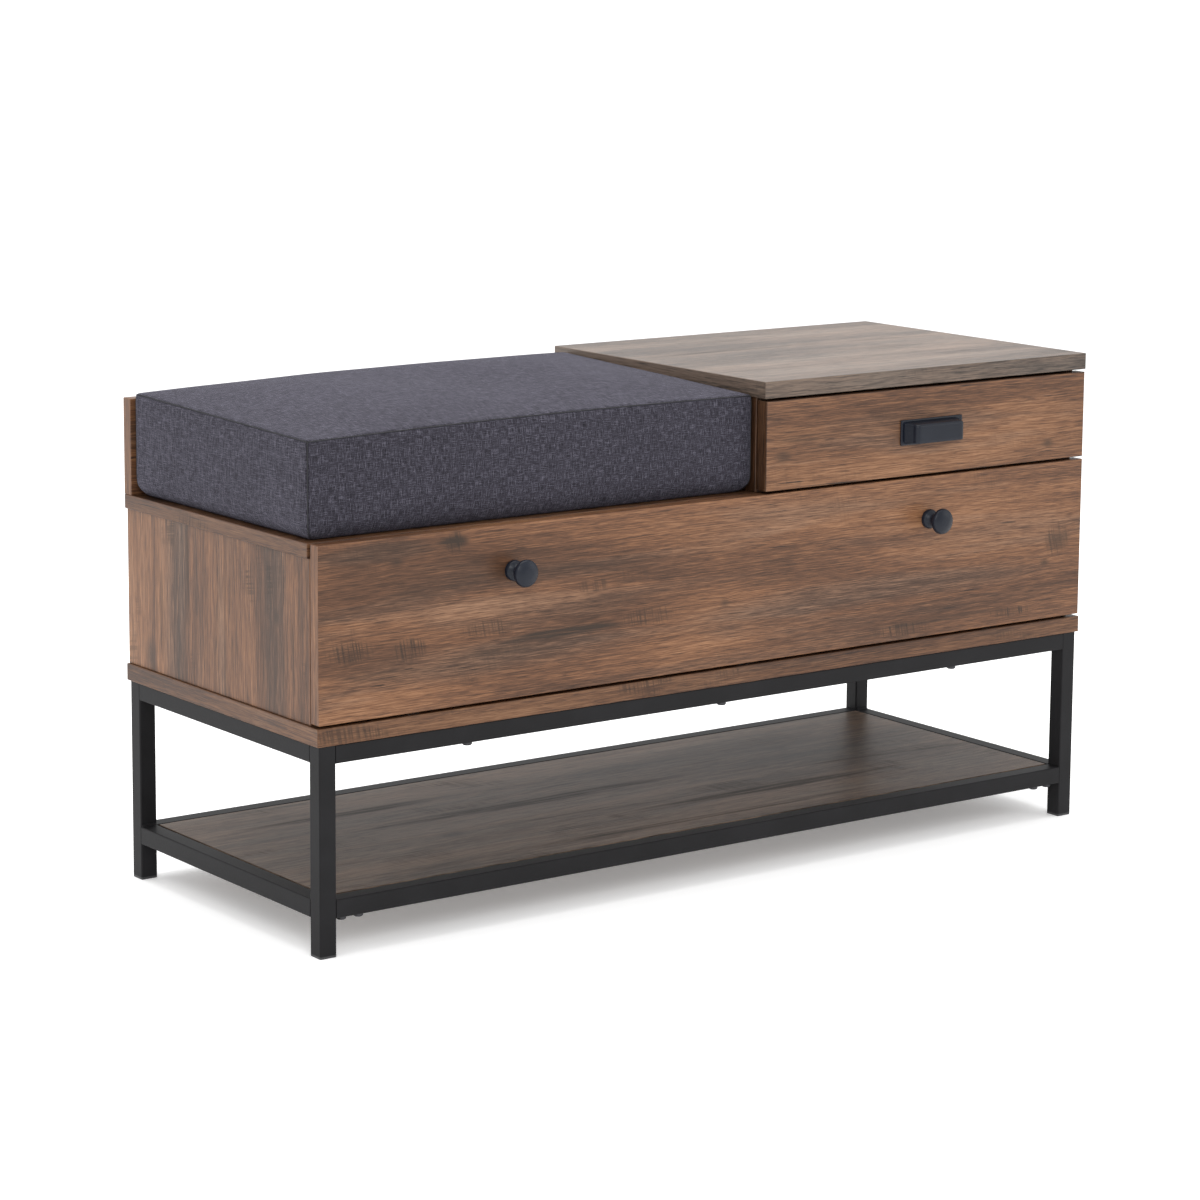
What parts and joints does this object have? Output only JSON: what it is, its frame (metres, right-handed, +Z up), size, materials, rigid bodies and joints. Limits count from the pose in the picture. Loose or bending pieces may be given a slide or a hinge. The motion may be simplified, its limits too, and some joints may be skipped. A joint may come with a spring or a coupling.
{
  "type": "entryway bench",
  "caption": "Entryway bench: steel tube frame with a lower shelf, wood-look cabinet with a drop-down door, a drawer bay at one end and a loose seat cushion.",
  "frame": {"origin": "on the floor, below the centre of the outline from the knobs' faces to the back edges", "axes": "+X towards the drawer's end (the sitter's left), -Y out of the front, +Z up"},
  "size_m": [1.016, 0.409, 0.533],
  "materials": {
    "frame_steel": "matt black powder coat",
    "black_bolts": "black oxide",
    "black_plastic": "moulded",
    "rustic_laminate": "rustic brown laminate on particle board, satin",
    "drawer_laminate": "plain brown laminate on particle board",
    "hardboard": "thin faced hardboard",
    "zinc": "zinc plated",
    "magnet": "nickel plated",
    "dowel_beech": "bare fluted beech",
    "black_handles": "satin black",
    "cushion_fabric": "heathered charcoal linen weave"
  },
  "bodies": {
    "cabinet": {"back_left_leg": "frame_steel", "back_lower_rail": "frame_steel", "back_right_leg": "frame_steel", "back_upper_rail": "frame_steel", "base_screws": "black_bolts", "bay_wall": "rustic_laminate", "bottom_panel": "rustic_laminate", "cam_bolts": "zinc", "cam_locks": "zinc", "centre_divider": "rustic_laminate", "front_left_leg": "frame_steel", "front_lower_rail": "frame_steel", "front_right_leg": "frame_steel", "front_upper_rail": "frame_steel", "hinge_leaves": "zinc", "left_lower_end_rail": "frame_steel", "left_outer_slide": "zinc", "left_side_panel": "rustic_laminate", "left_upper_end_rail": "frame_steel", "leg_glides": "black_plastic", "lower_back_panel": "hardboard", "magnetic_catches": "magnet", "panel_screws": "zinc", "rail_bolts": "black_bolts", "rail_spigots": "frame_steel", "right_lower_end_rail": "frame_steel", "right_outer_slide": "zinc", "right_side_panel": "rustic_laminate", "right_upper_end_rail": "frame_steel", "seat_panel": "rustic_laminate", "shelf_board": "rustic_laminate", "shelf_screws": "black_bolts", "shelf_tabs": "frame_steel", "slide_and_hinge_screws": "zinc", "top_board": "rustic_laminate", "upper_back_board": "rustic_laminate", "wood_dowels": "dowel_beech"},
    "drawer": {"drawer_front": "rustic_laminate", "drawer_inner_front": "drawer_laminate", "drawer_left_side": "drawer_laminate", "drawer_right_side": "drawer_laminate", "drawer_back": "drawer_laminate", "drawer_bottom": "hardboard", "left_inner_slide": "zinc", "right_inner_slide": "zinc", "inner_slide_screws": "zinc", "drawer_box_screws": "zinc", "cup_pull": "black_handles", "pull_screws": "zinc"},
    "ball_cages": {"ball_cages": "zinc", "slide_balls": "zinc"},
    "door": {"door_panel": "rustic_laminate", "left_knob": "black_handles", "right_knob": "black_handles", "knob_screws": "zinc", "hinge_sockets": "zinc", "hinge_pins": "zinc", "socket_screws": "zinc", "strike_plates": "zinc"},
    "cushion": {"cushion": "cushion_fabric"}
  },
  "joints": [
    {"name": "drawer_slide", "type": "slide", "parent": "cabinet", "child": "drawer", "axis": [0, -1, 0], "range_m": [0, 0.2065]},
    {"name": "cage_slide", "type": "slide", "parent": "cabinet", "child": "ball_cages", "axis": [0, -1, 0], "range_m": [0, 0.10325]},
    {"name": "door_hinge", "type": "hinge", "parent": "cabinet", "child": "door", "pos_m": [0, -0.1705, 0.2415], "axis": [1, 0, 0], "range_deg": [0, 90]},
    {"name": "cushion_lift", "type": "slide", "parent": "cabinet", "child": "cushion", "axis": [0, 0, 1], "range_m": [0, 0.12]}
  ],
  "couplings": [
    {"joint": "cage_slide", "follows": "drawer_slide", "ratio": 0.5}
  ]
}
